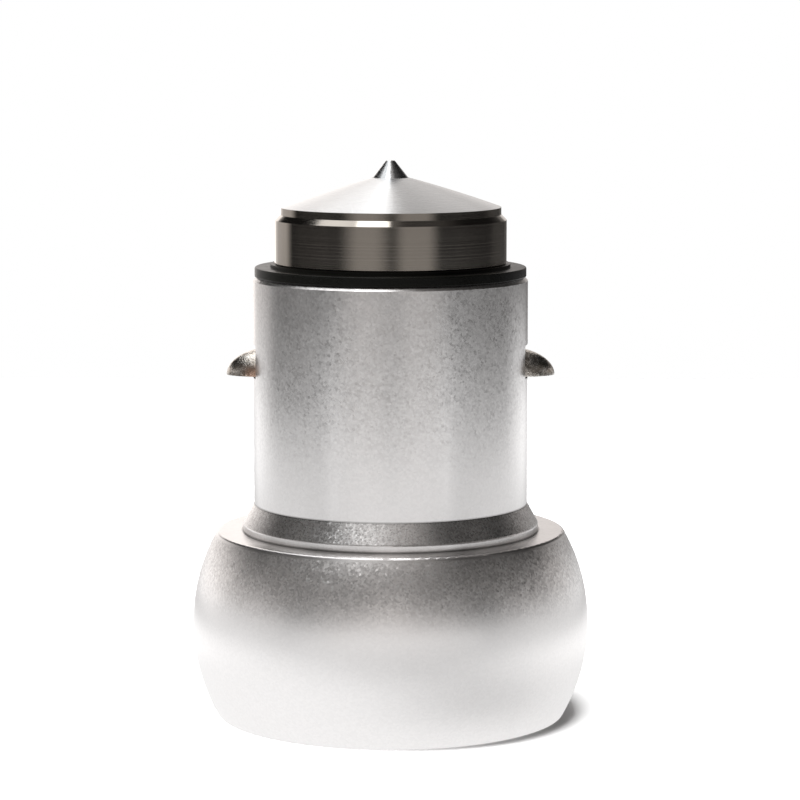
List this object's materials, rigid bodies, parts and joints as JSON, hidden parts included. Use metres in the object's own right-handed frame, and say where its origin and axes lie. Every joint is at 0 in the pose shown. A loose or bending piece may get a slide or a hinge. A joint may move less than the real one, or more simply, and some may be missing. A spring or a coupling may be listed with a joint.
{
  "type": "car usb charger plug",
  "caption": "Car USB charger plug with a bell-shaped aluminium head, a round barrel with sprung side contacts, a black insulating ring and a steel cap with a pointed sprung pin.",
  "frame": {"origin": "on the charger's axis, in the plane of the rim at its USB end", "axes": "+Z along the axis towards the pointed pin; the two ground contacts are on -X and +X, the USB sockets one behind the other on -Y and +Y, and -Y is the front"},
  "size_m": [0.0302, 0.0302, 0.0423],
  "materials": {
    "blasted_aluminium": "fine bead-blasted, clear anodised",
    "black_plastic": "smooth moulded, semi-gloss",
    "turned_steel": "turned and polished stainless",
    "spring_steel": "drawn wire",
    "nickel_plate": "bright nickel plate",
    "brass": "turned",
    "liner_plastic": "plain moulded",
    "face_plastic": "fine spark-eroded texture",
    "circuit_board": "solder mask",
    "tinned_steel": "tin plated sheet",
    "socket_plastic": "plain moulded",
    "contact_gold": "gold flashed",
    "chip_plastic": "moulded epoxy",
    "ferrite": "pressed ferrite",
    "capacitor_can": "drawn can",
    "fuse_body": "plain ceramic"
  },
  "bodies": {
    "charger": {"housing": "blasted_aluminium", "nose_insulator": "black_plastic", "contact_cap": "turned_steel", "pin_spring": "spring_steel", "retaining_nut": "turned_steel", "insulating_washer": "liner_plastic", "positive_terminal": "brass", "insulating_sleeve": "liner_plastic", "face_plate": "face_plastic", "port_board": "circuit_board", "main_board": "circuit_board", "usb_shell_front": "tinned_steel", "usb_shell_rear": "tinned_steel", "usb_insulator_front": "socket_plastic", "usb_insulator_rear": "socket_plastic", "usb_contacts_front": "contact_gold", "usb_contacts_rear": "contact_gold", "converter_chip": "chip_plastic", "power_inductor": "ferrite", "input_capacitor": "capacitor_can", "output_capacitor": "capacitor_can", "rectifier_diode": "chip_plastic", "fuse": "fuse_body"},
    "centre_pin": {"centre_pin": "turned_steel"},
    "left_ground_contact": {"ground_spring_left": "nickel_plate"},
    "right_ground_contact": {"ground_spring_right": "nickel_plate"}
  },
  "joints": [
    {"name": "pin_press", "type": "slide", "parent": "charger", "child": "centre_pin", "axis": [0, 0, -1], "range_m": [0, 0.0012], "stiffness_N_per_m": 1200, "springref_m": -0.002, "deforming": ["pin_spring"]},
    {"name": "left_contact_press", "type": "hinge", "parent": "charger", "child": "left_ground_contact", "pos_m": [-0.0085, 0, 0.01145], "axis": [0, 1, 0], "range_deg": [0, 7.5], "stiffness_Nm_per_rad": 0.45, "springref_deg": -2.86},
    {"name": "right_contact_press", "type": "hinge", "parent": "charger", "child": "right_ground_contact", "pos_m": [0.0085, 0, 0.01145], "axis": [0, -1, 0], "range_deg": [0, 7.5], "stiffness_Nm_per_rad": 0.45, "springref_deg": -2.86}
  ]
}
